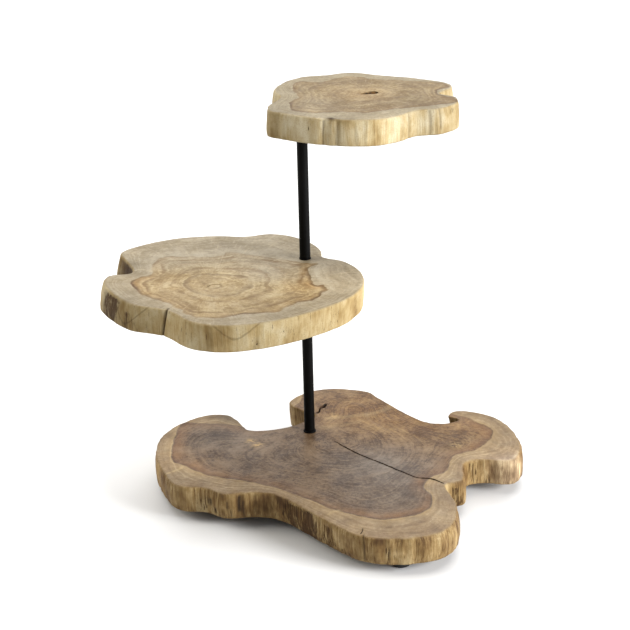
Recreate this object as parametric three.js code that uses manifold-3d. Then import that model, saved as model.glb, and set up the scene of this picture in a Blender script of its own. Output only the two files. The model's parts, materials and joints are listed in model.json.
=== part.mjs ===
// Three-tiered serving stand: three live-edge slices of trunk, one above another on a round iron rod
// that comes apart for packing. The middle and top slices turn about the rod to face any way.
// Millimetres, +Z up. The origin is on the table, under the middle of the stand's bounding box.

import * as THREE from "three";
import { mergeVertices } from "three/addons/utils/BufferGeometryUtils.js";
import Module from "manifold-3d";

const wasm = await Module();
wasm.setup();

// ---- Driving dimensions ----

const ROD_X = -8; // the rod's axis, measured from the origin
const ROD_Y = 62.6;
const ROD_DIAMETER = 12;
const ROD_CHAMFER = 0.8;

const FOOT_HEIGHT = 11;
const BASE_THICKNESS = 32;
const MIDDLE_THICKNESS = 31;
const TOP_THICKNESS = 29;
const MIDDLE_TOP_Z = 254; // the surface that the middle tier serves on
const TOP_UNDERSIDE_Z = 400;

const GAP = 0.3; // all round a stud, screw or bolt in its hole
const SEAT = 0.1; // between faces that stand on each other
const THREAD_DIAMETER = 8; // M8, in both rods, the bolt and the insert
const THREAD_ENGAGEMENT = 20;
const TAPPED_DEPTH = 24;
const THREAD_CHAMFER = 1;

const BASE_WASHER = { radius: 7.2, height: 1.5 }; // the flare that shows at the rod's foot
const ROD_WASHER = { radius: 6.5, height: 1 };
const COUNTERBORE = { radius: 13.5, depth: 12 };
const BIG_WASHER = { radius: 12, height: 2 };
const LOCK_WASHER = { radius: 7, height: 2, slot: 2 };
const BOLT_HEAD = { acrossFlats: 13, height: 5.3 };
const INSERT = { radius: 6.5, flange: 9, flangeHeight: 1.6, length: 18, blindDepth: 20 };

const FOOT = { topRadius: 11.5, soleRadius: 10, round: 1.5, recessRadius: 5, recessDepth: 4.5 };
const FOOT_SCREW = { headRadius: 4.2, headHeight: 2.6, radius: 2, bite: 14, point: 4, pointRadius: 0.6 };
const CROSS_RECESS = { length: 5, width: 1, depth: 1.4 };

const ROUND_SIDES = 28; // facets round a turned piece
const HEX_SIDES = 6;
const SPANS_PER_POINT = 3; // facets of a slab's edge between two of its outline's points

// Heights that follow from the ones above.
const BASE_TOP_Z = FOOT_HEIGHT + BASE_THICKNESS;
const MIDDLE_UNDERSIDE_Z = MIDDLE_TOP_Z - MIDDLE_THICKNESS;
const LOWER_ROD_Z = BASE_TOP_Z + BASE_WASHER.height + 2 * SEAT;
const LOWER_ROD_TOP_Z = MIDDLE_UNDERSIDE_Z - ROD_WASHER.height - 2 * SEAT;
const UPPER_ROD_Z = MIDDLE_TOP_Z + ROD_WASHER.height + 2 * SEAT;
const UPPER_ROD_TOP_Z = TOP_UNDERSIDE_Z - ROD_WASHER.height - 2 * SEAT;

// ---- Outlines of the three slices, seen from above, with the rod's axis at 0, 0 ----

// Four root lobes: left, back, right with its hook, and front.
const BASE_OUTLINE = [
  [-173, -40], [-167, 0], [-148, 30], [-115, 50], [-95, 48], [-82, 31], [-69, 8], [-38, 8],
  [-9, 24], [7, 43], [-14, 60], [-23, 79], [-9, 100], [18, 113], [50, 110], [71, 101], [88, 76],
  [114, 39], [137, 16], [158, 13], [171, 21], [160, 31], [167, 43], [188, 42], [217, 21],
  [233, -20], [234, -60], [221, -83], [184, -80], [170, -87], [164, -126], [145, -137],
  [152, -170], [151, -207], [133, -238], [90, -250], [52, -242], [15, -208], [-36, -151],
  [-60, -144], [-92, -145], [-113, -131], [-143, -124], [-162, -88],
];

// Nearly round, with a bark-lined cleft at the left and a notch beside the rod.
const MIDDLE_OUTLINE = [
  [-205, 33], [-182, 57], [-144, 75], [-104, 80], [-66, 76], [-42, 82], [-18, 75], [8, 48],
  [18, 24], [20, 5], [42, -9], [58, -37], [63, -72], [48, -112], [14, -146], [-30, -172],
  [-80, -183], [-114, -171], [-140, -140], [-154, -132], [-178, -121], [-204, -86], [-216, -52],
  [-212, -36], [-190, -31], [-187, -20], [-197, 8],
];

// Two small notches, left and right, with the rod near its front left edge.
const TOP_OUTLINE = [
  [-29, 60], [-23, 32], [-36, -5], [-34, -20], [-12, -36], [24, -55], [68, -64], [98, -53],
  [120, -33], [145, -28], [167, -4], [165, 15], [149, 30], [163, 50], [163, 67], [136, 89],
  [88, 110], [54, 124], [30, 116], [2, 110], [-18, 91],
];

const EDGE_ROUND = 1.8; // how far the sawn faces are eased into the edge
const BASE_EDGE = { flare: 0.008, bulge: 0.012, lean: [1.5, 2.5] };
const MIDDLE_EDGE = { flare: 0.02, bulge: 0.006, lean: [-5, 5] };
const TOP_EDGE = { flare: 0.02, bulge: 0.012, lean: [-0.5, 1] };

// ---- Where the feet stand, with the rod's axis at 0, 0 ----

const FEET = {
  front: [92, -226],
  left: [-140, -82],
  right: [200, -42],
  back: [36, 88],
};

// ---- Materials ----

function material(colour, roughness, metalness) {
  return new THREE.MeshStandardMaterial({ color: colour, roughness, metalness });
}

const DARK_TEAK = material(0x8a7563, 0.45, 0);
const PALE_TEAK = material(0xbfa980, 0.55, 0);
const BLACK_IRON = material(0x1a1918, 0.5, 0.6);
const ZINC = material(0x9fa2a5, 0.35, 0.9);
const BRASS = material(0xb08d4a, 0.35, 0.9);
const RUBBER = material(0x141414, 0.85, 0);

// ---- Joining and cutting ----

const WELD = 1e-3; // corners nearer than this are one corner

function solidOf(geometry, x = 0, y = 0, z = 0) {
  const plain = geometry.clone();
  plain.deleteAttribute("normal");
  plain.deleteAttribute("uv");
  plain.translate(x, y, z);
  const merged = mergeVertices(plain, WELD);
  const mesh = new wasm.Mesh({
    numProp: 3,
    vertProperties: merged.attributes.position.array,
    triVerts: new Uint32Array(merged.index.array),
  });
  return new wasm.Manifold(mesh);
}

function geometryOf(solid) {
  const mesh = solid.getMesh();
  return new THREE.BufferGeometry()
    .setAttribute("position", new THREE.BufferAttribute(mesh.vertProperties, 3))
    .setIndex(new THREE.BufferAttribute(mesh.triVerts, 1));
}

// An upright cylinder that stands on z, for a shaft or a hole.
function upright(radius, height, x, y, z, sides = ROUND_SIDES) {
  const cylinder = new THREE.CylinderGeometry(radius, radius, height, sides);
  cylinder.rotateX(Math.PI / 2);
  return solidOf(cylinder, x, y, z + height / 2);
}

// A turned piece: [radius, height] points that start and end on the axis, or close on themselves.
function turned(profile) {
  const points = profile.map(([r, z]) => new THREE.Vector2(r, z));
  return new THREE.LatheGeometry(points, ROUND_SIDES).rotateX(Math.PI / 2);
}

const stand = new THREE.Group();

function add(name, geometry, look, x = 0, y = 0, z = 0) {
  const mesh = new THREE.Mesh(geometry, look);
  mesh.name = name;
  mesh.position.set(ROD_X + x, ROD_Y + y, z);
  stand.add(mesh);
}

// ---- The slices of trunk ----

// A slice stands on z = 0. Its underside is wider than its top by the share `flare` and moved by
// `lean`, as the trunk that it was sawn from spread and leant, and its edge swells by `bulge` halfway.
function slice(outline, thickness, { flare, bulge, lean }) {
  const points = outline.map(([x, y]) => new THREE.Vector3(x, y, 0));
  const curve = new THREE.CatmullRomCurve3(points, true, "centripetal");
  const edge = curve.getPoints(outline.length * SPANS_PER_POINT).slice(0, -1);
  const shape = new THREE.Shape(edge.map((p) => new THREE.Vector2(p.x, p.y)));
  const slab = new THREE.ExtrudeGeometry(shape, {
    depth: thickness - 2 * EDGE_ROUND,
    steps: 2,
    bevelThickness: EDGE_ROUND,
    bevelSize: EDGE_ROUND,
    bevelOffset: -EDGE_ROUND,
    bevelSegments: 1,
  });
  slab.translate(0, 0, EDGE_ROUND);
  const middle = new THREE.Vector3();
  edge.forEach((p) => middle.addScaledVector(p, 1 / edge.length));
  const at = slab.attributes.position;
  for (let i = 0; i < at.count; i += 1) {
    const depth = 1 - at.getZ(i) / thickness;
    const scale = 1 + flare * depth + bulge * 4 * depth * (1 - depth);
    at.setX(i, middle.x + (at.getX(i) - middle.x) * scale + lean[0] * depth);
    at.setY(i, middle.y + (at.getY(i) - middle.y) * scale + lean[1] * depth);
  }
  return solidOf(slab);
}

const HOLE_RADIUS = THREAD_DIAMETER / 2 + GAP;
const PAST = 1; // how far a cutter runs past the face it cuts

function baseSlab() {
  let slab = slice(BASE_OUTLINE, BASE_THICKNESS, BASE_EDGE);
  slab = slab.subtract(upright(HOLE_RADIUS, BASE_THICKNESS + 2 * PAST, 0, 0, -PAST));
  slab = slab.subtract(upright(COUNTERBORE.radius, COUNTERBORE.depth + PAST, 0, 0, -PAST));
  for (const [x, y] of Object.values(FEET)) {
    slab = slab.subtract(upright(FOOT_SCREW.radius + GAP, FOOT_SCREW.bite + 2 * PAST, x, y, -PAST));
  }
  return geometryOf(slab);
}

function middleSlab() {
  const slab = slice(MIDDLE_OUTLINE, MIDDLE_THICKNESS, MIDDLE_EDGE);
  return geometryOf(slab.subtract(upright(HOLE_RADIUS, MIDDLE_THICKNESS + 2 * PAST, 0, 0, -PAST)));
}

function topSlab() {
  let slab = slice(TOP_OUTLINE, TOP_THICKNESS, TOP_EDGE);
  slab = slab.subtract(upright(INSERT.radius + GAP, INSERT.blindDepth + PAST, 0, 0, -PAST));
  const flangeRecess = upright(INSERT.flange + GAP, INSERT.flangeHeight + 2 * SEAT + PAST, 0, 0, -PAST);
  return geometryOf(slab.subtract(flangeRecess));
}

add("base_slab", baseSlab(), DARK_TEAK, 0, 0, FOOT_HEIGHT);
add("middle_slab", middleSlab(), PALE_TEAK, 0, 0, MIDDLE_UNDERSIDE_Z);
add("top_slab", topSlab(), PALE_TEAK, 0, 0, TOP_UNDERSIDE_Z);

// ---- The rod, in two lengths tapped at both ends, and what joins them ----

function rod(length) {
  const r = ROD_DIAMETER / 2;
  const bore = HOLE_RADIUS;
  return turned([
    [0, TAPPED_DEPTH], [bore, TAPPED_DEPTH], [bore, 0], [r - ROD_CHAMFER, 0], [r, ROD_CHAMFER],
    [r, length - ROD_CHAMFER], [r - ROD_CHAMFER, length], [bore, length],
    [bore, length - TAPPED_DEPTH], [0, length - TAPPED_DEPTH],
  ]);
}

function stud(length) {
  const r = THREAD_DIAMETER / 2;
  return turned([
    [0, 0], [r - THREAD_CHAMFER, 0], [r, THREAD_CHAMFER], [r, length - THREAD_CHAMFER],
    [r - THREAD_CHAMFER, length], [0, length],
  ]);
}

function washer(outer, inner, height) {
  return turned([[inner, 0], [outer, 0], [outer, height], [inner, height], [inner, 0]]);
}

add("lower_rod", rod(LOWER_ROD_TOP_Z - LOWER_ROD_Z), BLACK_IRON, 0, 0, LOWER_ROD_Z);
add("upper_rod", rod(UPPER_ROD_TOP_Z - UPPER_ROD_Z), BLACK_IRON, 0, 0, UPPER_ROD_Z);

const JOINING_STUD_Z = LOWER_ROD_TOP_Z - THREAD_ENGAGEMENT;
add("joining_stud", stud(UPPER_ROD_Z + THREAD_ENGAGEMENT - JOINING_STUD_Z), ZINC, 0, 0, JOINING_STUD_Z);

const TOP_STUD_Z = UPPER_ROD_TOP_Z - THREAD_ENGAGEMENT;
const TOP_STUD_END_Z = TOP_UNDERSIDE_Z + INSERT.length;
add("top_stud", stud(TOP_STUD_END_Z - TOP_STUD_Z), ZINC, 0, 0, TOP_STUD_Z);

function rodWasher(name, { radius, height }, z) {
  add(name, washer(radius, HOLE_RADIUS, height), BLACK_IRON, 0, 0, z + SEAT);
}

rodWasher("rod_base_washer", BASE_WASHER, BASE_TOP_Z);
rodWasher("middle_lower_washer", ROD_WASHER, LOWER_ROD_TOP_Z);
rodWasher("middle_upper_washer", ROD_WASHER, MIDDLE_TOP_Z);
rodWasher("top_washer", ROD_WASHER, UPPER_ROD_TOP_Z);

function threadedInsert() {
  const { radius, flange, flangeHeight, length } = INSERT;
  return turned([
    [HOLE_RADIUS, 0], [flange, 0], [flange, flangeHeight], [radius, flangeHeight],
    [radius, length - THREAD_CHAMFER], [radius - THREAD_CHAMFER, length], [HOLE_RADIUS, length],
    [HOLE_RADIUS, 0],
  ]);
}

add("top_insert", threadedInsert(), BRASS, 0, 0, TOP_UNDERSIDE_Z + SEAT);

// ---- The bolt that holds the rod down, up in the base's counterbore ----

const BIG_WASHER_Z = FOOT_HEIGHT + COUNTERBORE.depth - BIG_WASHER.height - SEAT;
const LOCK_WASHER_Z = BIG_WASHER_Z - LOCK_WASHER.height - SEAT;
const BOLT_HEAD_Z = LOCK_WASHER_Z - BOLT_HEAD.height - SEAT;

function lockWasher() {
  const { radius, height, slot } = LOCK_WASHER;
  const ring = solidOf(washer(radius, HOLE_RADIUS, height));
  const cutter = new THREE.BoxGeometry(radius + PAST, slot, height + 2 * PAST);
  return geometryOf(ring.subtract(solidOf(cutter, (radius + PAST) / 2, 0, height / 2)));
}

function hexBolt() {
  const cornerRadius = BOLT_HEAD.acrossFlats / Math.sqrt(3);
  const head = upright(cornerRadius, BOLT_HEAD.height, 0, 0, 0, HEX_SIDES);
  const shankLength = LOWER_ROD_Z + THREAD_ENGAGEMENT - BOLT_HEAD_Z - BOLT_HEAD.height / 2;
  return geometryOf(head.add(solidOf(stud(shankLength), 0, 0, BOLT_HEAD.height / 2)));
}

add("base_bolt_washer", washer(BIG_WASHER.radius, HOLE_RADIUS, BIG_WASHER.height), ZINC, 0, 0, BIG_WASHER_Z);
add("base_lock_washer", lockWasher(), ZINC, 0, 0, LOCK_WASHER_Z);
add("base_bolt", hexBolt(), ZINC, 0, 0, BOLT_HEAD_Z);

// ---- The feet: rubber bumpers, each held by a screw up its middle ----

function foot() {
  const { topRadius, soleRadius, round, recessRadius, recessDepth } = FOOT;
  const bore = FOOT_SCREW.radius + GAP;
  const top = FOOT_HEIGHT - SEAT;
  return turned([
    [recessRadius, 0], [soleRadius - round, 0], [soleRadius, round], [topRadius, top - round],
    [topRadius, top], [bore, top], [bore, recessDepth], [recessRadius, recessDepth],
    [recessRadius, 0],
  ]);
}

// A pan-head screw, with its cross recess downwards, that stands on the head's face.
function footScrew() {
  const { headRadius, headHeight, radius, bite, point, pointRadius } = FOOT_SCREW;
  const headRound = headHeight / 3;
  const length = FOOT_HEIGHT + bite - FOOT.recessDepth + headHeight;
  const screw = solidOf(turned([
    [0, 0], [headRadius - headRound, 0], [headRadius, headRound], [headRadius, headHeight],
    [radius, headHeight], [radius, length - point], [pointRadius, length], [0, length],
  ]));
  const slot = new THREE.BoxGeometry(CROSS_RECESS.length, CROSS_RECESS.width, 2 * CROSS_RECESS.depth);
  const across = slot.clone().rotateZ(Math.PI / 2);
  return geometryOf(screw.subtract(solidOf(slot)).subtract(solidOf(across)));
}

const SCREW_HEAD_Z = FOOT.recessDepth - FOOT_SCREW.headHeight - SEAT;
for (const [side, [x, y]] of Object.entries(FEET)) {
  add("foot_" + side, foot(), RUBBER, x, y, 0);
  add("foot_screw_" + side, footScrew(), ZINC, x, y, SCREW_HEAD_Z);
}

export default stand;
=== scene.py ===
"""Looks for the tiered cake stand: three live-edge wood slices on a black iron rod, with rubber feet.

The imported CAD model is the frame. Each slice is rebuilt here from its own CAD wall, with a rounded, rippled
live edge, cracks and bores, and with the distances that its wood shader draws rings, heartwood and bark from.
The turned pieces are rebuilt with chamfers, threads and driver recesses.

Sizes and places are in millimetres from the rod's axis, unless a name says otherwise.
"""

import json
import math
from functools import reduce
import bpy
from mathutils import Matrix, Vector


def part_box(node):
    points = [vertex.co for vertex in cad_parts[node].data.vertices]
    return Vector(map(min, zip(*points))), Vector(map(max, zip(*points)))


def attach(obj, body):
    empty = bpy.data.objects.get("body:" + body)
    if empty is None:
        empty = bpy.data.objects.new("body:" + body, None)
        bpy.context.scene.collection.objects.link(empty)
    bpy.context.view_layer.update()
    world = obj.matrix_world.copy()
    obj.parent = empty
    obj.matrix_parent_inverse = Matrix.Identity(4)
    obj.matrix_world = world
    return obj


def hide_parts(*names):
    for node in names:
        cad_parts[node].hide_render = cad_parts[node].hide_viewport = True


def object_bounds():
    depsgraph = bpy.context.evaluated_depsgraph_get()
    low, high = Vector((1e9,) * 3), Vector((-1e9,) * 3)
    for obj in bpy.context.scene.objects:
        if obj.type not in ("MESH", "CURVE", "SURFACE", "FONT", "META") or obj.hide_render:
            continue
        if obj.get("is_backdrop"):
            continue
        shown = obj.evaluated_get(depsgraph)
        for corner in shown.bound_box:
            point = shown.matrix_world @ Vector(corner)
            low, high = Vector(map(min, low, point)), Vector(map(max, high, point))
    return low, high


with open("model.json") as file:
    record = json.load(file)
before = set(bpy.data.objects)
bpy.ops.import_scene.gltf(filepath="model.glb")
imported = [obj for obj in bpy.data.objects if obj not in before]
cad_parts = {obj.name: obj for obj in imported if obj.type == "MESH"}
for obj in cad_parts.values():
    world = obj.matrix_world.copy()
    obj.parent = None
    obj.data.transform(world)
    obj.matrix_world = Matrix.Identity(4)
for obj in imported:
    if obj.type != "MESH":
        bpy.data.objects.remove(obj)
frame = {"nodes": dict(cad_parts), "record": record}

from types import SimpleNamespace

import bpy
import numpy as np
from mathutils import Matrix, Vector, kdtree, noise
from mathutils.geometry import delaunay_2d_cdt

CAD_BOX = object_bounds()
MM = 0.001

# --- The frame

rod_low, rod_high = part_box("lower_rod")
ROD = np.array([rod_low.x + rod_high.x, rod_low.y + rod_high.y]) / 2 / MM
WELD = 0.005  # vertices closer than this are one


def span(node):
    """A CAD node's lowest and highest corners, in mm from the rod's axis."""
    low, high = (np.array(corner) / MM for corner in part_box(node))
    low[:2] -= ROD
    high[:2] -= ROD
    return low, high


def centre(node):
    """The middle of a CAD node's box, in mm from the rod's axis."""
    return sum(span(node)) / 2


def wall_rings(node):
    """The three level rings of vertices round a slice's wall, as heights and matched loops, anticlockwise."""
    mesh = frame["nodes"][node].data
    points = np.array([v.co for v in mesh.vertices]) / MM
    cells = np.round(points / WELD).astype(int)
    _, first, same = np.unique(cells, axis=0, return_index=True, return_inverse=True)
    points, same = points[first], same.ravel()
    level = {}
    for a, b in mesh.edge_keys:
        a, b = same[a], same[b]
        if a != b and abs(points[a, 2] - points[b, 2]) < WELD:
            level.setdefault(a, set()).add(b)
            level.setdefault(b, set()).add(a)
    width = span(node)[1][0] - span(node)[0][0]
    rings, seen = [], set()
    for start in sorted(level):
        loop, here, last = [], start, None
        while here not in seen and len(level[here]) == 2:
            seen.add(here)
            loop.append(here)
            here, last = next(n for n in sorted(level[here]) if n != last), here
        loop = points[loop]
        if len(loop) > 2 and here == start and np.ptp(loop[:, 0]) > 0.8 * width:
            rings.append(loop)
    rings.sort(key=lambda loop: loop[0, 2])
    heights = [loop[0, 2] for loop in rings]
    loops = []
    for loop in rings:
        loop = loop[:, :2] - ROD
        if signed_area(loop) < 0:
            loop = loop[::-1]
        if loops:
            misfit = [np.sum((np.roll(loop, k, axis=0) - loops[0]) ** 2) for k in range(len(loop))]
            loop = np.roll(loop, int(np.argmin(misfit)), axis=0)
        loops.append(loop)
    return heights, loops


# --- Curves, distances and noise


def signed_area(loop):
    x, y = loop[:, 0], loop[:, 1]
    return 0.5 * np.sum(x * np.roll(y, -1) - np.roll(x, -1) * y)


def smooth(start, end, value):
    """0 before start and 1 after end, with a soft step between them."""
    t = np.clip((value - start) / (end - start), 0, 1)
    return t * t * (3 - 2 * t)


def spline(points, at, closed=True):
    """Catmull-Rom through points, at these places counted in points."""
    points = np.asarray(points, float)
    n = len(points)
    whole = np.floor(at).astype(int)
    if not closed:
        whole = np.clip(whole, 0, n - 2)
    f = (at - whole)[:, None]
    index = [(whole + k) % n if closed else np.clip(whole + k, 0, n - 1) for k in (-1, 0, 1, 2)]
    a, b, c, d = (points[i] for i in index)
    return 0.5 * (2 * b + (c - a) * f + (2 * a - 5 * b + 4 * c - d) * f**2 + (3 * b - a - 3 * c + d) * f**3)


def even_places(points, step, closed=True):
    """Places along a spline, counted in its points, that are evenly far apart by about step."""
    n = len(points) if closed else len(points) - 1
    fine = np.linspace(0, n, n * 24 + 1)
    steps = np.diff(spline(points, fine, closed), axis=0)
    along = np.concatenate([[0], np.cumsum(np.linalg.norm(steps, axis=1))])
    count = max(3, round(along[-1] / step))
    return np.interp(np.linspace(0, along[-1], count + 1), along, fine)[: count if closed else count + 1]


def curve(points, step=1.0, closed=True):
    return spline(points, even_places(points, step, closed), closed)


def inside(points, loop):
    """Which of these points lie inside a closed loop."""
    x, y = points[:, 0], points[:, 1]
    result = np.zeros(len(points), bool)
    for (ax, ay), (bx, by) in zip(loop, np.roll(loop, -1, axis=0)):
        if ay != by:
            result ^= ((ay > y) != (by > y)) & (x < (bx - ax) * (y - ay) / (by - ay) + ax)
    return result


def distance(points, others):
    """How far each point is from the nearest of the others."""
    tree = kdtree.KDTree(len(others))
    for i, (x, y) in enumerate(others):
        tree.insert((x, y, 0), i)
    tree.balance()
    return np.array([tree.find((x, y, 0))[2] for x, y in points])


def depth_in(points, loop):
    """How far inside a loop each point is, negative outside it."""
    return distance(points, loop) * np.where(inside(points, loop), 1, -1)


def soft_depth(points, loop, reach, cell=3.0):
    """Depth inside a loop without the creases of the plain distance.

    It is -L ln u, where L² ∇²u = u inside the loop and u is 1 outside it.
    """
    low = loop.min(0) - 2 * cell
    shape = np.ceil((loop.max(0) + 2 * cell - low) / cell).astype(int) + 1
    x, y = np.meshgrid(*(low[k] + cell * np.arange(shape[k]) for k in (0, 1)), indexing="ij")
    solid = inside(np.stack([x.ravel(), y.ravel()], 1), loop).reshape(x.shape)
    u = np.where(solid, 0.5, 1.0)
    share = 4 + (cell / reach) ** 2
    for _ in range(700):
        around = sum(np.roll(u, shift, axis) for shift in (-1, 1) for axis in (0, 1))
        u = np.where(solid, around / share, 1.0)
    depth = -reach * np.log(np.clip(u, 1e-9, 1))
    at = (points - low) / cell
    i = np.clip(np.floor(at).astype(int), 0, shape - 2)
    f = np.clip(at - i, 0, 1)
    corner = lambda a, b: depth[i[:, 0] + a, i[:, 1] + b]
    left = corner(0, 0) * (1 - f[:, 1]) + corner(0, 1) * f[:, 1]
    right = corner(1, 0) * (1 - f[:, 1]) + corner(1, 1) * f[:, 1]
    return left * (1 - f[:, 0]) + right * f[:, 0]


def ripple(points, size, tall=None, seed=0.0):
    """Noise from about -1 to 1 with features of this size, drawn out upwards where tall is given."""
    scale = np.array([1 / size, 1 / size, 1 / (tall or size)])
    return np.array([noise.noise(p) for p in points * scale + seed])


def spots(points, table, blend=np.add):
    """A number per point from soft round spots: (x, y, radius, strength), summed or blended otherwise."""
    total = np.zeros(len(points))
    for x, y, radius, strength in table:
        total = blend(total, strength * np.exp(-((points - (x, y)) ** 2).sum(1) / radius**2))
    return total


def at_height(flat, height=0.0):
    """Flat points set at one height, or at one height each."""
    return np.column_stack([flat, np.broadcast_to(height, len(flat))])


def circle(radius, x, y, z, sides):
    """Points round a circle of one radius, or of one radius for each side."""
    turn = np.linspace(0, 2 * math.pi, sides, endpoint=False)
    return at_height(np.stack([x + radius * np.cos(turn), y + radius * np.sin(turn)], 1), z)


# --- Meshes


class Builder:
    """Vertices in mm from the rod's axis, faces, and a number per vertex for each layer of a shader."""

    def __init__(self):
        self.points, self.faces, self.layers = [], [], {}
        self.count = 0

    def add(self, points):
        """Adds vertices and returns their indices."""
        self.points.append(np.asarray(points, float))
        self.count += len(points)
        return np.arange(self.count - len(points), self.count)

    def bridge(self, lower, upper):
        """Joins two loops, anticlockwise from above, with faces that look outwards if the first is below."""
        for a, b, c, d in zip(lower, np.roll(lower, -1), np.roll(upper, -1), upper):
            self.faces.append((int(a), int(b), int(c), int(d)))

    def fan(self, loop, tip):
        """Closes a loop with triangles to one point, facing up where the loop is anticlockwise from above."""
        for a, b in zip(loop, np.roll(loop, -1)):
            self.faces.append((int(a), int(b), int(tip)))

    def all_points(self):
        return np.concatenate(self.points)

    def finish(self, name, body, slot, nodes, material, sharp=35):
        """Makes the piece: mesh in metres, layers, normals, body and the nodes that it stands for. The slot
        is not used.
        """
        points = self.all_points()
        points[:, :2] += ROD
        mesh = bpy.data.meshes.new(name)
        mesh.from_pydata((points * MM).tolist(), [], self.faces)
        mesh.validate()
        for layer, values in self.layers.items():
            attribute = mesh.attributes.new(layer, "FLOAT", "POINT")
            attribute.data.foreach_set("value", np.asarray(values, np.float32))
        mesh.shade_smooth()
        mesh.set_sharp_from_angle(angle=math.radians(sharp))
        mesh.materials.append(material)
        piece = bpy.data.objects.new(name, mesh)
        bpy.context.scene.collection.objects.link(piece)
        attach(piece, body)
        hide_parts(*nodes)
        return piece


# --- The wood slices

INSET = 0.35  # keeps every rippled edge inside the CAD box
COLUMN = 1.1  # width of the wall's faces
WALL_ROWS = 18
ROUND_ROWS = 5
GRID = 3.0  # spacing of the points on the flat faces
BORE_SIDES = 40
NO_VEIN = 99.0  # mm, far enough from any vein


class Slice:
    """One live-edge slice, built inside its CAD node."""

    def __init__(self, node, look):
        self.node, self.look = node, SimpleNamespace(**look)
        self.build = Builder()
        low, high = span(node)
        self.underside, self.top = low[2], high[2]
        self.thickness = self.top - self.underside
        self.marks = {}  # vertex -> darkness of a crack
        self.make_wall()
        self.make_bores()
        self.make_faces()
        self.make_layers()

    def outline(self, height):
        """The wall's loop at this height of each column, from the CAD's three rings."""
        total = 0
        for k, (own, loop) in enumerate(zip(self.heights, self.loops)):
            weight = 1.0
            for m, other in enumerate(self.heights):
                if m != k:
                    weight = weight * (height - other) / (own - other)
            total = total + loop * weight[:, None]
        return total

    def make_wall(self):
        """The wall: rows of vertices, rounded into both faces, rippled and marked."""
        self.heights, rings = wall_rings(self.node)
        places = even_places(rings[1], COLUMN)
        self.loops = [spline(ring, places) for ring in rings]
        middle = self.loops[1]
        count = len(middle)
        tangent = np.roll(middle, -2, axis=0) - np.roll(middle, 2, axis=0)
        tangent /= np.linalg.norm(tangent, axis=1)[:, None]
        outwards = np.stack([tangent[:, 1], -tangent[:, 0]], 1)
        along = np.arange(count) * COLUMN

        # The rippling is centred on the CAD wall, except near its box, which nothing may pass.
        lift = 0.5 * self.look.broad + 0.25 * self.look.flutes + 0.5 * self.look.fibres
        low, high = (corner[:2] for corner in span(self.node))

        def nearest(x, y):
            return int(np.argmin(np.sum((middle - (x, y)) ** 2, axis=1)))

        def rounding(radius, turn):
            """A row's inset, share of the rippling and share of wall, at this angle round an edge."""
            return radius * (1 - math.sin(turn)), 0.45 + 0.55 * math.sin(turn), math.sin(turn) ** 2

        flat = at_height(middle)
        round_top = self.look.round * (1 + 0.35 * ripple(flat, 14, seed=3.1))
        round_under = 0.8 * self.look.round * (1 + 0.3 * ripple(flat, 17, seed=8.4))
        plain = self.thickness - round_top - round_under
        turns = np.linspace(0, math.pi / 2, ROUND_ROWS)
        # Each row is its depth below the top face, and what rounding returns.
        rows = [(round_top * (1 - math.cos(a)), *rounding(round_top, a)) for a in turns]
        rows += [(round_top + plain * k / (WALL_ROWS + 1), 0 * along, 1, 1) for k in range(1, WALL_ROWS + 1)]
        rows += [
            (self.thickness - round_under * (1 - math.cos(a)), *rounding(round_under, a)) for a in turns[::-1]
        ]

        points, self.wall, self.bark, self.stain, self.vein = [], [], [], [], []
        for depth, inset, share, wall in rows:
            height = self.top - depth
            xy = self.outline(height)
            solid = at_height(xy, height)
            sunk = self.look.broad * (0.5 + 0.5 * ripple(solid, 42, 150, 1.7))
            sunk = sunk + self.look.flutes * np.abs(ripple(solid, 11, 110, 5.2))
            sunk = sunk + self.look.fibres * (0.5 + 0.5 * ripple(solid, 3.4, 45, 9.9))
            bark = self.look.bark + 0.35 * ripple(solid, 26, 60, 12.3)
            stain = np.zeros(count)
            for x, y, half, top, foot, deep, dark, rough in self.look.wall_marks:
                shift = along - along[nearest(x, y)] + along[-1] / 2
                off = np.abs(shift % (along[-1] + COLUMN) - along[-1] / 2)
                level = depth / self.thickness
                window = smooth(top - 0.08, top + 0.08, level) * (1 - smooth(foot - 0.08, foot + 0.08, level))
                strength = np.exp(-((off / half) ** 2)) * window
                sunk = sunk + deep * strength
                stain = np.maximum(stain, dark * strength)
                bark = bark + rough * strength
            gap = np.min([xy - low, high - xy], axis=(0, 2))
            sunk = sunk - lift * smooth(0.3, 3.5, gap)
            moved = xy - outwards * (INSET + inset + share * sunk)[:, None]
            points.append(at_height(moved, height))
            vein = np.full(count, NO_VEIN)
            for x, y, foot, slope in self.look.veins:
                off = np.hypot(along - along[nearest(x, y)], 6) - 6
                vein = np.minimum(vein, depth + slope * off - foot)
            self.wall.append(np.full(count, wall))
            self.bark.append(bark)
            self.stain.append(stain)
            self.vein.append(vein)
        self.rows = [self.build.add(p) for p in points]
        for upper, lower in zip(self.rows, self.rows[1:]):
            self.build.bridge(lower, upper)
        self.rim_loop = points[ROUND_ROWS - 1][:, :2]

    def make_bores(self):
        """Adds the walls of the holes, from the underside up, and their loops to the faces' edges."""
        self.top_loops, self.under_loops = [self.rows[0]], [self.rows[-1]]
        for x, y, steps, through in self.look.bores:
            sides = BORE_SIDES if steps[0][0] > 4 else BORE_SIDES // 2
            rings = []
            for radius, height in steps:
                height = self.thickness if height is None else height
                rings.append(self.build.add(circle(radius, x, y, self.underside + height, sides)))
            for lower, upper in zip(rings, rings[1:]):
                self.build.bridge(upper, lower)
            self.under_loops.append(rings[0])
            if through:
                self.top_loops.append(rings[-1])
            else:
                tip = self.build.add([(x, y, self.underside + steps[-1][1])])[0]
                self.build.fan(rings[-1][::-1], tip)

    def make_faces(self):
        """The two flat faces, with cracks in the upper one."""
        cracks = [self.crack(*c) for c in self.look.cracks]
        self.face(self.top_loops, self.top, cracks, up=True)
        self.face(self.under_loops, self.underside, [], up=False)

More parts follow.
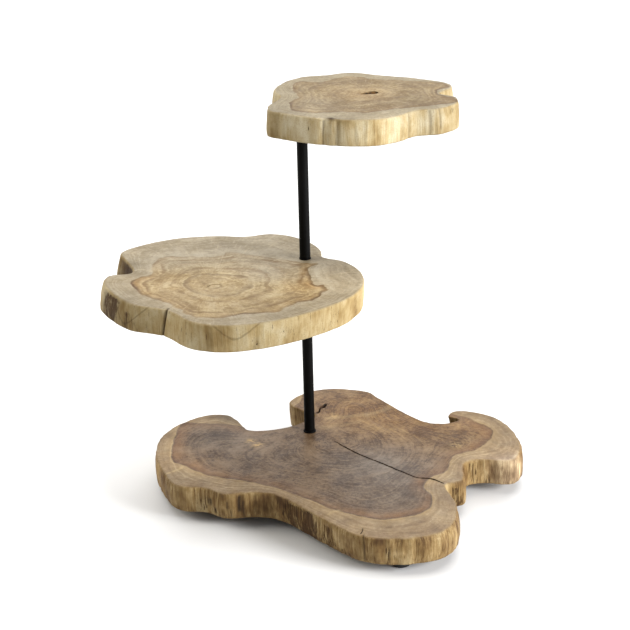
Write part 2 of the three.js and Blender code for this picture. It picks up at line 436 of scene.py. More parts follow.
    def crack(self, path, widths, depth, wander=0.5):
        """A groove along a path: its floor, its two lips, and how deep its floor is."""
        line = curve(path, 1.6, closed=False)
        n = len(line)
        tangent = np.gradient(line, axis=0)
        tangent /= np.linalg.norm(tangent, axis=1)[:, None]
        side = np.stack([-tangent[:, 1], tangent[:, 0]], 1)
        solid = at_height(line)
        line = line + side * (wander * ripple(solid, 7, seed=2.2))[:, None]
        place = np.linspace(0, 1, n)
        width = np.interp(place, np.linspace(0, 1, len(widths)), widths)
        width = width * (1 + 0.4 * ripple(solid, 4, seed=6.1))
        width = np.maximum(width, 0.3) / 2
        deep = depth * smooth(0, 0.12, place) * (1 - smooth(0.88, 1, place))
        lips = [line[1:-1] + sign * side[1:-1] * width[1:-1, None] for sign in (1, -1)]
        return line, lips, deep

    def face(self, loops, height, cracks, up):
        """A flat face: a mesh of even triangles between the wall's edge, the bores and the cracks."""
        known = self.build.all_points()
        indices = list(np.concatenate(loops))
        flat = [known[i][:2] for i in indices]
        edges, at = [], 0
        for loop in loops:
            edges += [(at + k, at + (k + 1) % len(loop)) for k in range(len(loop))]
            at += len(loop)
        fixed = at
        heights, darkness, grooves = {}, {}, []
        for line, lips, deep in cracks:
            first = len(flat)
            n = len(line)
            flat += list(line)
            for k in range(n):
                heights[first + k] = -deep[k]
                darkness[first + k] = 1.0 if 0 < k < n - 1 else 0.45
            edges += [(first + k, first + k + 1) for k in range(n - 1)]
            for lip in lips:
                start = len(flat)
                flat += list(lip)
                darkness.update({start + k: 0.45 for k in range(len(lip))})
                chain = [first] + list(range(start, start + len(lip))) + [first + n - 1]
                edges += list(zip(chain, chain[1:]))
            grooves.append(np.concatenate([line[:1], lips[0], line[-1:], lips[1][::-1]]))
        flat = np.array(flat)
        outer = known[loops[0]][:, :2]
        low, high = outer.min(0), outer.max(0)
        rise = GRID * math.sqrt(3) / 2
        grid = []
        for r, y in enumerate(np.arange(low[1], high[1], rise)):
            x = np.arange(low[0] + (GRID / 2 if r % 2 else 0), high[0], GRID)
            grid.append(np.stack([x, np.full(len(x), y)], 1))
        grid = np.concatenate(grid)
        keep = inside(grid, outer)
        for hole in [known[loop][:, :2] for loop in loops[1:]] + grooves:
            keep &= ~inside(grid, hole)
        grid = grid[keep]
        grid = grid[distance(grid, flat) > 0.55 * GRID]
        vertices = np.concatenate([flat, grid])
        result = delaunay_2d_cdt([Vector(v) for v in vertices], edges, [], 0, 1e-4)
        places, _, triangles, originals = result[:4]
        number = {}
        extra = []
        for k, place in enumerate(places):
            own = min(originals[k]) if originals[k] else None
            if own is not None and own < fixed:
                number[k] = indices[own]
            else:
                x, y = place
                lowered = heights.get(own, 0.0)
                number[k] = self.build.count + len(extra)
                if own in darkness:
                    self.marks[number[k]] = darkness[own]
                extra.append((x, y, height + lowered))
        self.build.add(np.array(extra))
        middles = np.array([np.mean([places[v] for v in t], axis=0) for t in triangles])
        good = inside(middles, outer)
        for loop in loops[1:]:
            good &= ~inside(middles, known[loop][:, :2])
        for t, ok in zip(triangles, good):
            if ok:
                corners = [number[v] for v in t]
                self.build.faces.append(tuple(int(v) for v in (corners if up else corners[::-1])))

    def make_layers(self):
        """The numbers per vertex that the wood shader reads, all in mm or from 0 to 1."""
        points = self.build.all_points()
        flat = points[:, :2]
        rim = np.maximum(depth_in(flat, self.rim_loop), 0)
        heart_loop = curve(self.look.heart)
        heart = depth_in(flat, heart_loop)
        away = flat - self.look.pith
        radius = np.linalg.norm(away, axis=1)
        if self.look.sap_rings is None:
            to_edge, plain = soft_depth(flat, self.rim_loop, 20), rim
        else:
            to_edge, plain = soft_depth(flat, heart_loop, 9, 2.5), np.maximum(heart, 0)
        near = smooth(1, 9, plain)
        to_edge = plain * (1 - near) + np.maximum(to_edge, 0) * near
        ring = self.look.rings * radius / (radius + to_edge + 1e-6)
        if self.look.sap_rings is not None:
            out = np.maximum(-heart, 0)
            ring = ring + self.look.sap_rings * out / (out + rim + 1e-6)
        ring = ring - spots(flat, self.look.swirls)
        count = len(points)
        wall, bark, stain = np.zeros((3, count))
        vein = np.full(count, NO_VEIN)
        for row, *values in zip(self.rows, self.wall, self.bark, self.stain, self.vein):
            wall[row], bark[row], stain[row], vein[row] = values
        crack = np.zeros(count)
        for vertex, dark in self.marks.items():
            crack[vertex] = dark
        scar = np.zeros(count)
        for path, half, strength in self.look.scars:
            away_from = distance(flat, curve(path, 0.5, closed=False))
            scar = np.maximum(scar, strength * np.exp(-((away_from / half) ** 2)))
        flow = ripple(at_height(flat), 38, seed=4.4)
        self.build.layers = {
            "ring": ring + 2.0 * flow, "heart": heart, "wall": wall, "bark": bark, "stain": stain,
            "crack": crack, "vein": vein, "scar": scar,
            "tone": spots(flat, self.look.tones),
            "pale": spots(flat, self.look.pale),
            "knot": spots(flat, self.look.knots, np.maximum),
            "mark": spots(flat, self.look.border_marks, np.maximum),
            "ray_x": 60 * away[:, 0] / (radius + 3), "ray_y": 60 * away[:, 1] / (radius + 3),
        }


M8_CLEARANCE = 4.3  # radius of a hole for an M8 stud or bolt
BASE_HEART = [
    (-146, 28), (-153, -1), (-155, -37), (-152, -65), (-139, -78), (-114, -101), (-85, -112), (-58, -123),
    (-35, -136), (5, -169), (25, -187), (65, -207), (86, -208), (108, -201), (122, -191), (129, -164),
    (122, -138), (132, -118), (149, -104), (159, -71), (183, -58), (198, -41), (207, -20), (206, -5),
    (194, 11), (182, 25), (169, 32), (150, 48), (125, 75), (95, 120), (45, 135), (5, 122), (-8, 96),
    (-12, 75), (-30, 50), (-50, 22), (-66, 10), (-84, 19), (-101, 25), (-124, 27),
]
MIDDLE_HEART = [
    (-186, -59), (-180, -77), (-168, -98), (-154, -111), (-139, -123), (-129, -139), (-119, -153),
    (-105, -160), (-82, -161), (-63, -155), (-45, -151), (-28, -150), (-20, -139), (-11, -126), (3, -123),
    (12, -114), (20, -99), (23, -91), (18, -80), (9, -77), (3, -39), (6, -26), (13, -16), (-5, -11),
    (-79, 24), (-89, 17), (-104, 13), (-139, 15), (-153, 16), (-161, 8), (-166, -7), (-165, -37),
    (-178, -45),
]
TOP_HEART = [
    (-13, 1), (-7, -22), (12, -33), (39, -33), (66, -37), (87, -30), (110, -24), (138, -17), (160, -9),
    (165, 3), (156, 16), (147, 25), (149, 43), (160, 55), (156, 68), (130, 79), (100, 87), (78, 94),
    (56, 107), (42, 100), (20, 86), (-2, 91), (-9, 78), (-8, 51), (-3, 30),
]
COUNTERBORE_RADIUS, COUNTERBORE_DEPTH = 13.5, 12
PILOT_RADIUS, PILOT_DEPTH = 2.3, 15
BASE_BORE = [
    (COUNTERBORE_RADIUS, 0), (COUNTERBORE_RADIUS, COUNTERBORE_DEPTH),
    (M8_CLEARANCE, COUNTERBORE_DEPTH), (M8_CLEARANCE, None),
]
INSERT_BORE = [(9.3, 0), (9.3, 1.8), (6.8, 1.8), (6.8, 20)]  # room for its flange, then for its thread
PILOT_BORES = [
    (*centre("foot_" + side)[:2], [(PILOT_RADIUS, 0), (PILOT_RADIUS, PILOT_DEPTH)], False)
    for side in ("front", "left", "right", "back")
]

# What each slice is made from:
#   round, broad, flutes, fibres   how far its edges are rounded, and how deep its wall's ripples are
#   bark          how barky the whole wall is, about 0
#   wall_marks    x, y, half width, top, foot (shares of the thickness), depth, darkness (stains, and painted shade in notches), bark
#   veins         dark Vs on the wall: x, y, how far the point is below the top face, slope
#   bores         x, y, steps of (radius, height above the underside), whether it goes right through
#   cracks        path, widths along it, depth, and how far it wanders
#   heart, pith   the heartwood's outline, and where the rings start
#   rings, sap_rings   the ring distance at the rim, or at the heartwood's outline and on from there
#   swirls        x, y, radius, how much less the ring distance is there
#   tones         x, y, radius, warmer by this much, or greyer where it is negative, as a painted sheen
#   pale          x, y, radius, lighter by this much, or darker where it is negative; a few spots are painted light and sheen
#   knots, border_marks   x, y, radius, strength
#   scars         pale scratches: path, half width, strength

BASE = dict(
    round=2.2, broad=1.6, flutes=1.5, fibres=0.5, bark=-0.12,
    wall_marks=[
        (-77, -145, 2.2, 0.1, 0.72, 1, 0.85, 0), (-72, -146, 1.2, 0.3, 0.95, 0.5, 0.6, 0.3),
        (-112, -134, 7, 0.3, 0.8, 0.5, 0, 0.7), (-109, -136, 2.2, 0.35, 0.6, 1, 0.7, 0.4),
        (-104, -139, 2.6, 0.62, 0.85, 0.8, 0.5, 0.4), (-90, -146, 1.1, 0.3, 0.62, 0.7, 0.55, 0),
        (-93, -146, 5, 0.1, 0.6, 0.3, 0, 0.4), (-87, -146, 1, 0.6, 0.9, 0.6, 0.5, 0),
        (-61, -146, 2, 0.1, 0.8, 0.4, 0.2, 0.5), (-42, -149, 8, 0, 0.8, 0.6, 0, 0.3),
        (-20, -165, 13, 0.1, 1.1, 1, 0.05, 1.5), (-2, -185, 14, 0.05, 1.1, 1.1, 0.05, 1.6),
        (18, -209, 10, 0.2, 1.1, 0.8, 0, 1), (38, -231, 9, 0.3, 1.1, 0.6, 0, 0.45),
        (54, -244, 0.9, -0.2, 0.95, 0.7, 0.55, 0), (80, -252, 9, 0.35, 1.1, 0.5, 0, 0.6),
        (110, -250, 11, -0.2, 1.2, 0.3, 0, -1.3), (61, -246, 8, -0.2, 1.2, 0, 0, -0.8),
        (-53, -147, 8, -0.2, 1.2, 0, 0, -0.9), (132, -242, 7, 0.3, 0.9, 0.4, 0, 0.3),
        (159, -131, 9, 0.2, 1.1, 0.8, 0, 0.9), (180, -81, 5, 0.1, 0.9, 0.8, 0, 0.7),
        (194, -80, 5, 0.6, 1.1, 0.8, 0, 0.5), (222, -62, 24, -0.2, 1.2, 0, 0, -0.5),
        # (165, 22) is the hollow under the hook: barky, and darkened a little as painted shade.
        (165, 22, 14, 0, 1.1, 0.3, 0.2, 1.2), (-165, -87, 12, 0.1, 0.9, 0.4, 0, 0.4),
        (-147, -122, 8, 0.1, 0.5, 0.3, 0, 0.5), (-15, 96, 14, 0.2, 1.1, 0.6, 0.1, 1),
    ],
    veins=[], bores=[(0, 0, BASE_BORE, True), *PILOT_BORES],
    cracks=[
        (
            [
                (27, -26), (46, -51), (64, -70), (81, -86), (101, -106), (116, -119), (131, -123),
                (145, -136),
            ],
            [0.8, 2, 2, 1.6, 2.2, 2.2, 1.6, 2.6, 1], 3,
        ),
        ([(7, 43), (11, 50), (13, 58), (17, 66), (20, 71)], [1, 3.6, 2.2, 2, 6, 6, 2], 5, 1.2),
        ([(50, -239), (52, -233), (53, -226)], [1, 0.7, 0.3], 1.2),
    ],
    heart=BASE_HEART, pith=(30, -25), rings=150, sap_rings=None,
    swirls=[(58, 66, 31, 36), (-96, -24, 34, 5), (165, -45, 12, 6), (-62, -28, 11, 6)],
    # The negative tones are painted sheen: greyer patches by the crack and on the left lobe.
    tones=[
        (50, 50, 62, 0.8), (120, 10, 62, 0.75), (185, -20, 45, 0.6), (-120, -60, 36, 0.35),
        (95, -150, 55, -0.5), (75, -85, 42, -1), (112, -118, 20, -0.3), (-90, -20, 50, -0.6),
    ],
    knots=[(-67, -22, 5, 1), (-59, -32, 6, 1), (164, -45, 7, 1), (28, 36, 5, 1)],
    # Painted light among the pale spots: (-150, -72) lightens the left lobe where the middle slice shades it,
    # (224, -104) lightens the right lobe and its wall as if lit from the right, and (50, -52) and (98, -102)
    # are painted sheen.
    pale=[
        (-150, -72, 48, 0.3), (50, -52, 24, 0.1), (-50, -30, 30, 0.1), (168, 10, 26, 0.12),
        (156, -23, 26, -0.13), (-85, 48, 26, -0.45), (-124, -22, 24, -0.15), (92, -182, 32, -0.17),
        (135, -126, 12, 0.16), (-112, 8, 9, -0.16), (-98, -8, 7, -0.14), (-88, -24, 10, -0.12),
        (-118, -20, 8, -0.1), (224, -104, 42, 1), (190, -30, 30, -0.08), (150, -215, 40, 0.1),
        (-160, -115, 26, -0.25), (98, -102, 36, 0.18),
    ],
    scars=[
        ([(-162, -99), (-150, -91), (-139, -80)], 1.4, 0.7),
        ([(18, -196), (22, -191), (30, -187)], 1.5, 0.5),
        ([(20, 32), (38, 34), (60, 38), (82, 46), (96, 60)], 4, 0.22),
        ([(12, 8), (34, 12), (58, 22)], 3.5, 0.15),
    ],
    border_marks=[
        (-155, -30, 40, 0.5), (-125, -85, 40, 0.8), (120, -130, 24, 1), (200, -15, 35, 0.7),
        (98, -205, 45, 1), (40, -195, 40, 0.5),
    ],
)
MIDDLE = dict(
    round=2, broad=1, flutes=0.5, fibres=0.25, bark=-0.25,
    wall_marks=[
        (-146, -137, 1.2, -0.2, 1.1, 2.2, 0.85, 0.1), (-203, -92, 12, 0.1, 1.1, 0.5, 0.35, 1.8),
        (-212, -74, 11, 0.1, 1.1, 0.4, 0.5, 1.2), (-188, -114, 7, 0.35, 1.1, 0.3, 0, 1.2),
        (-196, 0, 32, 0.1, 1.1, 0.6, 0.95, 0.8), (-120, -165, 10, 0.4, 0.9, 0.2, 0, 0.4),
        (30, -130, 12, 0.1, 0.9, 0.2, 0, 0.35), (-100, -178, 6, 0.3, 1.1, 0.8, 0.1, 0.2),
        (-20, -166, 16, 0.4, 1.1, 0.9, 0.05, 0.2), (52, -100, 9, 0.2, 1.1, 0.9, 0.08, 0.3),
        (-50, -180, 3, 0.5, 1.1, 0.5, 0.2, 0.2),
    ],
    veins=[(-72, -183, 15.5, 0.78), (-190, -113, 25, 1.1)],
    bores=[(0, 0, [(M8_CLEARANCE, 0), (M8_CLEARANCE, None)], True)],
    cracks=[([(-104, -77), (-100, -71), (-94, -70), (-90, -73)], [0.4, 0.9, 0.6, 0.4], 0.8)],
    heart=MIDDLE_HEART, pith=(-99, -72), rings=78, sap_rings=42, swirls=[(0, -30, 22, 5)],
    # The negative tones are painted sheen: greyer patches, the largest over the back of the face.
    tones=[
        (-60, 25, 80, -0.7), (-42, -42, 32, -0.45), (-150, 0, 40, -0.5), (-120, -80, 60, 0.5),
        (-40, -120, 40, 0.3),
    ],
    knots=[],
    pale=[
        (38, -72, 48, 0.52), (-200, -112, 30, -0.3), (-203, -10, 22, -0.35), (-60, -165, 50, -0.1),
        (-60, -35, 32, 0.26), (-25, -45, 22, 0.14), (-6, -83, 19, 0.42), (-165, -75, 30, 0.12),
    ],
    scars=[([(-166, -28), (-176, -22), (-186, -24)], 1, 0.6)],
    border_marks=[
        (12, -62, 42, 1), (-183, -64, 32, 1), (-62, -156, 55, 0.7), (-160, -98, 30, 0.5),
        (10, -115, 30, 0.8), (-155, 12, 25, 0.3),
    ],
)
TOP = dict(
    round=2, broad=1.8, flutes=2, fibres=0.35, bark=-0.5,
    wall_marks=[
        (29, -57, 5, -0.3, 0.06, 2, 1, 0), (22, -56, 1.3, 0.05, 1.1, 0.9, 0.35, 0.1),
        (37, -60, 2.4, 0, 1.1, 1.3, 0.1, 0.1), (8, -50, 3, 0, 0.5, 0.4, 0, 0.7),
        (112, -40, 1.5, 0, 1.1, 0.9, 0.22, 0.1), (134, -32, 2.2, 0, 1.1, 1, 0.1, 0.4),
        (145, -27, 1.2, 0, 0.8, 0.8, 0.4, 0.3), (158, -14, 4, 0, 0.4, 0.4, 0, 0.9),
        # (-29, 12) is the notch on the left, darkened as painted shade.
        (-29, 12, 10, 0, 1.1, 0.5, 0.55, 0.9), (80, -55, 18, 0.3, 1.1, 0.3, 0, 0.15),
    ],
    veins=[], bores=[(0, 0, INSERT_BORE, False)],
    cracks=[([(64, 33), (69, 35), (74, 36), (79, 38), (84, 39)], [1, 6, 8, 12, 3], 6, 0.5)],
    heart=TOP_HEART, pith=(70, 34), rings=60, sap_rings=26, swirls=[(120, 20, 18, 4)],
    tones=[(62, 36, 30, 0.8), (20, 0, 30, -0.3), (145, 20, 26, 0.4)], knots=[],
    pale=[
        (-38, -24, 26, -0.22), (19, -54, 4, 0.25), (80, 34, 22, 0.12), (82, -68, 24, 0.34),
        (38, -66, 15, -0.16), (124, 8, 26, -0.2), (0, 55, 18, -0.1),
    ],
    scars=[],
    border_marks=[
        (150, 38, 22, 1), (155, 0, 26, 0.8), (-10, -12, 34, 0.8), (62, -37, 50, 0.7), (-8, 60, 30, 0.4),
    ],
)

# --- Materials


LIGHT = 1.95  # how many times brighter the lamps make a level face than the screen's white


def albedo(shade):
    """The linear albedo that shows as this sRGB colour, from 0 to 255, on a level face in the lamps' light.

    Four numbers are a linear colour already and stay as they are.
    """
    if len(shade) == 4:
        return shade
    linear = (((c / 255 + 0.055) / 1.055) ** 2.4 if c > 10 else c / 255 / 12.92 for c in shade)
    return tuple(c / LIGHT for c in linear) + (1.0,)


class Graph:
    """A short way to write a node tree: each method adds nodes and returns the socket of their result."""

    def __init__(self, name):
        self.material = bpy.data.materials.new(name)
        self.material.use_nodes = True
        self.tree = self.material.node_tree
        self.shader = self.tree.nodes["Principled BSDF"]
        place = self.node("ShaderNodeTexCoord")
        scale = self.node("ShaderNodeVectorMath", operation="SCALE")
        scale.inputs["Scale"].default_value = 1 / MM
        self.link(place.outputs["Object"], scale.inputs[0])
        self.place = scale.outputs[0]  # where the point is, in mm

    def node(self, kind, **settings):
        node = self.tree.nodes.new(kind)
        for key, value in settings.items():
            setattr(node, key, value)
        return node

    def link(self, value, socket):
        """Feeds a socket from another one, or sets its value, where a tuple is a colour."""
        if isinstance(value, bpy.types.NodeSocket):
            self.tree.links.new(value, socket)
        else:
            socket.default_value = albedo(value) if isinstance(value, tuple) else value

    def layer(self, name):
        return self.node("ShaderNodeAttribute", attribute_name=name).outputs["Fac"]

    def math(self, operation, *values):
        node = self.node("ShaderNodeMath", operation=operation)
        for value, socket in zip(values, node.inputs):
            self.link(value, socket)
        return node.outputs[0]

    def add(self, *values):
        return reduce(lambda total, value: self.math("ADD", total, value), values)

    def times(self, *values):
        return reduce(lambda total, value: self.math("MULTIPLY", total, value), values)

    def centred(self, noise, width):
        """Noise from 0 to 1, made to swing this wide about 0."""
        return self.times(self.math("SUBTRACT", noise, 0.5), width)

    def step(self, value, start, end, low=0.0, high=1.0):
        """low before start, high after end, soft between."""
        node = self.node("ShaderNodeMapRange", interpolation_type="SMOOTHSTEP")
        for given, socket in zip((value, start, end, low, high), node.inputs):
            self.link(given, socket)
        return node.outputs[0]

    def band(self, value, line, before, after, share):
        """The share where the value is at the line, and 0 from this far before it and this far after it."""
        rise = self.step(value, line - before, line, 0.0, share)
        return self.times(rise, self.step(value, line, line + after, 1.0, 0.0))

    def stretched(self, x, y, z, shift=0.0):
        """The place in mm divided by a size each way."""
        node = self.node("ShaderNodeMapping")
        self.link(self.place, node.inputs["Vector"])
        node.inputs["Location"].default_value = (shift, shift * 0.7, shift * 1.3)
        node.inputs["Scale"].default_value = (1 / x, 1 / y, 1 / z)
        return node.outputs[0]

    def noise_of(self, place, detail=2.0, rough=0.5, twist=0.0, flat=False):
        """Noise from 0 to 1 at this place, or with flat at this number, with features about 1 across."""
        node = self.node("ShaderNodeTexNoise", noise_dimensions="1D" if flat else "3D")
        self.link(place, node.inputs["W" if flat else "Vector"])
        for name, value in (("Scale", 1.0), ("Detail", detail), ("Roughness", rough), ("Distortion", twist)):
            node.inputs[name].default_value = value
        return node.outputs["Fac"]

    def noise(self, size, detail=2.0, rough=0.5, tall=None, shift=0.0, twist=0.0):
        """Noise from 0 to 1 with features of about this size in mm, drawn out upwards where tall is given."""
        return self.noise_of(self.stretched(size, size, tall or size, shift), detail, rough, twist)

    def line_noise(self, value, size, detail=2.0, rough=0.5, shift=0.0):
        """Noise from 0 to 1 that varies only with a value, with features of about this size."""
        return self.noise_of(self.math("MULTIPLY_ADD", value, 1 / size, shift), detail, rough, flat=True)

    def joined(self, x, y, z):
        node = self.node("ShaderNodeCombineXYZ")
        for value, socket in zip((x, y, z), node.inputs):
            self.link(value, socket)
        return node.outputs[0]

    def cells(self, size, feature="F1", shift=0.0):
        """The distance to the middle of the nearest of many cells of this size."""
        node = self.node("ShaderNodeTexVoronoi", feature=feature)
        self.link(self.stretched(size, size, size, shift), node.inputs["Vector"])
        node.inputs["Scale"].default_value = 1.0
        return node.outputs["Distance"]

    def mix(self, share, first, second, blend="MIX"):
        node = self.node("ShaderNodeMix", data_type="RGBA", blend_type=blend, clamp_factor=True)
        self.link(share, node.inputs[0])
        self.link(first, node.inputs[6])
        self.link(second, node.inputs[7])
        return node.outputs[2]

    def ramp(self, value, *stops):
        """A colour for each value from 0 to 1, blended between stops of (place, colour)."""
        node = self.node("ShaderNodeValToRGB")
        marks = node.color_ramp.elements
        while len(marks) < len(stops):
            marks.new(0.5)
        for mark, (place, shade) in zip(marks, stops):
            mark.position, mark.color = place, albedo(shade)
        self.link(value, node.inputs[0])
        return node.outputs[0]

    def bump(self, height, distance, strength=1.0):
        """Relief from a height of 0 to 1, this many mm tall."""
        node = self.node("ShaderNodeBump")
        node.inputs["Strength"].default_value = strength
        node.inputs["Distance"].default_value = distance * MM
        self.link(height, node.inputs["Height"])
        self.link(node.outputs[0], self.shader.inputs["Normal"])

    def finish(self, base, rough, **fixed):
        self.link(base, self.shader.inputs["Base Color"])
        self.link(rough, self.shader.inputs["Roughness"])
        for name, value in fixed.items():
            self.shader.inputs[name.replace("_", " ")].default_value = value
        return self.material


def wood(name, look):
    """A wood with rings, heartwood and a live edge, from a look below and the layers of its slice."""
    g, look = Graph(name), SimpleNamespace(**look)
    ring, heart, wall = g.layer("ring"), g.layer("heart"), g.layer("wall")
    bark, stain, crack, tone = g.layer("bark"), g.layer("stain"), g.layer("crack"), g.layer("tone")
    ray_x, ray_y = g.layer("ray_x"), g.layer("ray_y")

    # Growth rings: the ring distance, shaken by noise, drives bands of several widths.
    rings = g.add(
        ring,
        g.add(
            g.centred(g.noise(34, 2), look.shake * 2.2),
            g.centred(g.noise(9, 3, shift=7), look.shake * 0.6),
            g.centred(g.noise(2.2, 2, shift=3), look.shake * 0.16),
        ),
    )
    fine = g.line_noise(rings, look.ring_width, 3, 0.6)
    hair = g.line_noise(rings, look.ring_width * 0.4, 2, 0.6, shift=11)
    coarse = g.line_noise(rings, look.ring_width * 4.5, 2, 0.5, shift=23)
    patch = g.noise(30, 4, 0.6, shift=31)
    mottle = g.noise(3.2, 4, 0.65, shift=37)
    ray = g.noise_of(g.joined(g.times(ray_x, 0.8), g.times(ray_y, 0.8), g.times(rings, 0.04)), 3)
    across, along = (1 / size for size in look.fleck)
    fleck = g.noise_of(g.joined(g.times(rings, across), g.times(ray_x, along), g.times(ray_y, along)), 3)
    parts = (fine, hair, coarse, patch, mottle, ray, fleck)
    grain = g.add(*(g.times(part, share) for part, share in zip(parts, look.grain)))
    spread = g.step(grain, 0.5 - look.contrast, 0.5 + look.contrast)
    calm = g.add(g.times(spread, look.sap_contrast), 0.5 - look.sap_contrast / 2)

    # Heartwood, sapwood, and the line between them.
    border = g.add(heart, g.centred(g.noise(13, 3, 0.4, shift=41), look.border_shake))
    in_heart = g.step(border, -look.border, look.border)
    # Positive tones warm the wood. Negative ones blend in greyer colours as a painted sheen of reflected
    # light, over heartwood and sapwood.
    warm = g.times(g.math("MAXIMUM", tone, 0.0), look.warm_share)
    cool = g.times(g.math("MAXIMUM", g.math("MULTIPLY", tone, -1.0), 0.0), look.cool_share)
    heartwood = g.mix(warm, g.ramp(spread, *look.heart), g.ramp(spread, *look.warm))
    heartwood = g.mix(cool, heartwood, g.ramp(calm, *look.cool))
    lined = g.ramp(g.add(calm, g.centred(fine, look.sap_lines)), *look.sap)
    sapwood = g.mix(g.times(cool, 0.7), lined, g.ramp(calm, *look.cool))
    face = g.mix(in_heart, sapwood, heartwood)
    for count, (line, before, after, shade, share) in enumerate(look.border_bands):
        patches = g.step(g.noise(26, 2, shift=53 + 9 * count), 0.34, 0.56, 0.5, 1.0)
        strength = g.math("MULTIPLY_ADD", g.layer("mark"), 1 - look.border_floor, look.border_floor)
        face = g.mix(g.times(g.band(border, line, before, after, share), patches, strength), face, shade)
    for count, (line, before, after, shade, share) in enumerate(look.ring_lines):
        patches = g.step(g.noise(24, 2, shift=71 + 9 * count), 0.36, 0.58, 0.15, 1.0)
        face = g.mix(g.times(g.band(rings, line, before, after, share), patches, in_heart), face, shade)

    # Pores, blotches, rays and knots.
    pores = g.step(g.cells(1.5, shift=5), 0.12, 0.3, 1.0, 0.0)
    open_pores = g.times(pores, g.step(g.noise(6, 2, shift=61), 0.4, 0.65))
    face = g.mix(g.times(open_pores, look.pore_share), face, look.pore)
    face = g.mix(g.step(ray, 0.6, 0.72, 0.0, look.ray_share), face, look.ray)
    stops = (0.32, look.blotch), (0.5, (1, 1, 1, 1)), (0.68, (1.1, 1.1, 1.08, 1))
    blotch = g.ramp(g.noise(16, 5, 0.65, shift=59), *stops)
    face = g.mix(0.8, face, blotch, "MULTIPLY")
    knot = g.times(g.layer("knot"), g.step(g.noise(3.5, 2, shift=67), 0.35, 0.6))
    face = g.mix(knot, face, look.knot)

    # The live edge: fibres drawn out upwards, with remains of bark where the layer says.
    fibre = g.noise(2.2, 4, 0.65, tall=40, shift=13, twist=0.3)
    strand = g.noise(11, 3, 0.55, tall=80, shift=17, twist=0.5)
    cloud = g.noise(26, 3, 0.6, tall=34, shift=47)
    fibre_share = g.step(g.noise(20, 2, tall=30, shift=43), 0.35, 0.65, *look.fibre)
    cloud = g.times(cloud, g.math("SUBTRACT", 0.75, fibre_share))
    shade = g.add(g.times(fibre, fibre_share), g.times(strand, 0.25), cloud)
    edge = g.ramp(g.step(shade, 0.34, 0.66), *look.edge)
    grit = g.noise(1.2, 3, 0.6, shift=19)
    edge = g.mix(g.step(grit, 0.5, 0.68, 0.0, look.speckle), edge, look.edge_speck)
    narrow = g.noise(1.2, 3, 0.6, tall=26, shift=83, twist=0.3)
    wide = g.noise(7, 3, tall=18, shift=89)
    barky = g.step(g.add(g.times(narrow, 0.7), g.times(wide, 0.3), g.times(bark, 0.14)), 0.595, 0.65)
    edge = g.mix(g.times(barky, 0.92), edge, g.ramp(fibre, *look.bark_colours))
    off_vein = g.math("ABSOLUTE", g.add(g.layer("vein"), g.centred(g.noise(5, 2, shift=79), 3.0)))
    edge = g.mix(g.step(off_vein, 0.2, 2.0, 0.4, 0.0), edge, look.bark_colours[1][1])

    # Both together: pale and dark patches, partly painted light and sheen, scars, stains with painted shade
    # in notches, and the insides of cracks, partly painted shade.
    face = g.mix(g.layer("scar"), face, look.scar)
    # Pale and dark spots: partly the wood's own patches, partly painted light and sheen.
    share = g.math("MULTIPLY_ADD", wall, look.pale_wall - 1, 1.0)
    pale = g.times(g.math("MAXIMUM", g.layer("pale"), 0.0), share)
    lighter = g.node("ShaderNodeHueSaturation")
    g.link(g.mix(wall, face, edge), lighter.inputs["Color"])
    g.link(g.add(pale, g.math("MINIMUM", g.layer("pale"), 0.0), 1.0), lighter.inputs["Value"])
    g.link(g.step(pale, 0.2, 0.8, 1.0, look.pale_colour), lighter.inputs["Saturation"])
    # Dark stains on the wall, and painted shade in its notches.
    whole = g.mix(stain, lighter.outputs[0], look.stain)
    # Inside cracks: their own dark brown, deepened towards near black as painted shade in the groove.
    crack_colour_and_shade = g.ramp(g.noise(5, 3, shift=107), (0.4, (30, 20, 12)), (0.65, look.crack))
    whole = g.mix(g.step(crack, 0.3, 0.6), whole, crack_colour_and_shade)

    fuzz = g.noise(1.1, 2, shift=97)
    face_relief = g.add(g.times(fine, 0.1), g.times(fuzz, 0.1), g.times(open_pores, -0.25))
    wall_relief = g.add(fibre, g.times(strand, 0.8), g.times(barky, -0.6), g.times(grit, 0.15))
    face_relief = g.times(g.math("SUBTRACT", 1.0, wall), face_relief)
    g.bump(g.add(face_relief, g.times(wall, wall_relief)), look.relief)
    sheen = g.step(g.noise(16, 3, shift=101), 0.3, 0.7, *look.rough)
    rough = g.add(sheen, g.times(wall, 0.24), g.times(open_pores, 0.1), g.times(crack, 0.3))
    rough = g.add(rough, g.times(barky, wall, 0.1))
    return g.finish(whole, g.math("MINIMUM", rough, 1.0), Specular_IOR_Level=look.gloss)


# What each wood looks like. Ramps are stops of (place, sRGB colour). The rest, where its name doesn't say:
#   shake, border_shake   how far noise moves the rings and the heartwood's border, in mm
#   grain         the shares of fine, hair and coarse rings, patches, mottling, rays and flecks
#   fleck         the width and length of a fleck, in mm
#   border_bands  mm inside the heartwood's outline, how far it fades before and after that, colour, share
#   ring_lines    the same, but placed by the ring distance
#   border_floor  the share of the border's bands where no border mark is
#   fibre         the least and greatest share of fibres in the wall's colour
#   pale_colour, pale_wall   how colourful the pale patches are, and how pale they are on the wall

